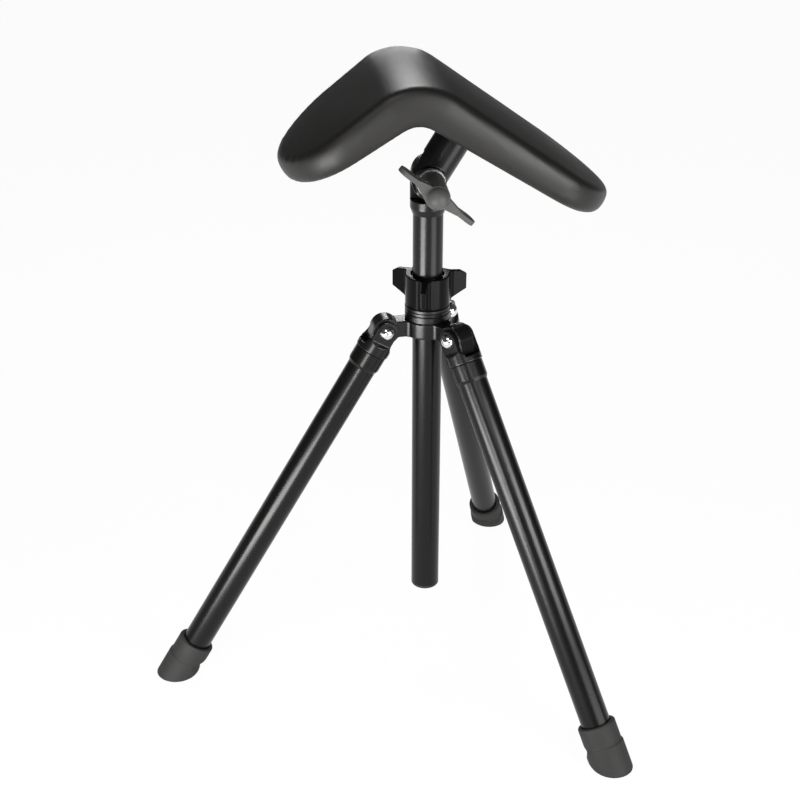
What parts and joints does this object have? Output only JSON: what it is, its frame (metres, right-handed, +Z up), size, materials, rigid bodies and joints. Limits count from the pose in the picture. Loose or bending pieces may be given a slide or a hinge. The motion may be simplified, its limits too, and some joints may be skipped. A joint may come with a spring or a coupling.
{
  "type": "folding tripod rest with a bent tilting pad",
  "caption": "Folding tripod rest: legs hinged on a hub, a sliding column in a clamp nut, and a bent foam pad on a tilting head with a winged knob.",
  "frame": {"origin": "on the floor, at the middle of the box round the three feet", "axes": "+Z up along the column; +Y towards the back leg; +X to the right of the picture's side"},
  "size_m": [0.4918, 0.4309, 0.6157],
  "materials": {
    "black_casting": "satin black enamel on cast metal",
    "black_nut": "gloss black moulded nylon",
    "dark_ring": "dark blackened steel, turned lines round the ring",
    "black_tube": "gloss black powder coat on steel tube",
    "chrome_dome": "polished chrome",
    "rubber": "matte dark grey rubber",
    "knob_plastic": "satin dark grey moulded plastic",
    "nylon": "natural nylon",
    "steel": "zinc-plated steel",
    "plate": "black enamel on steel plate",
    "black_screws": "blackened steel screws",
    "brass_insert": "plain brass",
    "pad_skin": "satin black leathery foam skin with a fine grain"
  },
  "bodies": {
    "hub": {"hub": "black_casting", "lower_lock_ring": "dark_ring", "upper_lock_ring": "dark_ring"},
    "clamp_nut": {"clamp_nut": "black_nut"},
    "collet": {"split_collet": "nylon"},
    "column": {"column_tube": "black_tube", "column_end_plug": "rubber", "tilt_head": "black_casting", "tilt_bolt": "steel", "friction_washer": "nylon", "tilt_washer": "steel"},
    "pad": {"pad_stem": "black_casting", "pad_flange": "plate", "stem_bolt": "steel", "flange_screws": "black_screws", "pad_plate": "plate", "pad_cushion": "pad_skin"},
    "knob": {"tilt_knob": "knob_plastic", "knob_insert": "brass_insert"},
    "left_leg": {"left_fork": "black_casting", "left_ferrule": "black_tube", "left_tube": "black_tube", "left_boot": "rubber", "left_pivot_bolt": "chrome_dome", "left_pivot_nut": "chrome_dome"},
    "right_leg": {"right_fork": "black_casting", "right_ferrule": "black_tube", "right_tube": "black_tube", "right_boot": "rubber", "right_pivot_bolt": "chrome_dome", "right_pivot_nut": "chrome_dome"},
    "back_leg": {"back_fork": "black_casting", "back_ferrule": "black_tube", "back_tube": "black_tube", "back_boot": "rubber", "back_pivot_bolt": "chrome_dome", "back_pivot_nut": "chrome_dome"}
  },
  "joints": [
    {"name": "left_leg_fold", "type": "hinge", "parent": "hub", "child": "left_leg", "pos_m": [-0.03533, -0.08541, 0.36631], "axis": [0.5, -0.866, 0], "range_deg": [0, 30.9]},
    {"name": "right_leg_fold", "type": "hinge", "parent": "hub", "child": "right_leg", "pos_m": [0.03533, -0.08541, 0.36631], "axis": [0.5, 0.866, 0], "range_deg": [0, 30.9]},
    {"name": "back_leg_fold", "type": "hinge", "parent": "hub", "child": "back_leg", "pos_m": [0, -0.02421, 0.36631], "axis": [-1, 0, 0], "range_deg": [0, 30.9]},
    {"name": "column_swivel", "type": "hinge", "parent": "hub", "child": "collet", "pos_m": [0, -0.06501, 0.36631], "axis": [0, 0, 1], "continuous": true},
    {"name": "column_slide", "type": "slide", "parent": "collet", "child": "column", "axis": [0, 0, 1], "range_m": [-0.045, 0.23]},
    {"name": "clamp_nut_turn", "type": "hinge", "parent": "hub", "child": "clamp_nut", "pos_m": [0, -0.06501, 0.39631], "axis": [0, 0, 1], "continuous": true},
    {"name": "head_tilt", "type": "hinge", "parent": "column", "child": "pad", "pos_m": [0, -0.06501, 0.5113], "axis": [-0.4258, 0.9048, 0], "range_deg": [-50, 42]},
    {"name": "knob_turn", "type": "hinge", "parent": "column", "child": "knob", "pos_m": [0, -0.06501, 0.5113], "axis": [-0.4258, 0.9048, 0], "continuous": true}
  ]
}
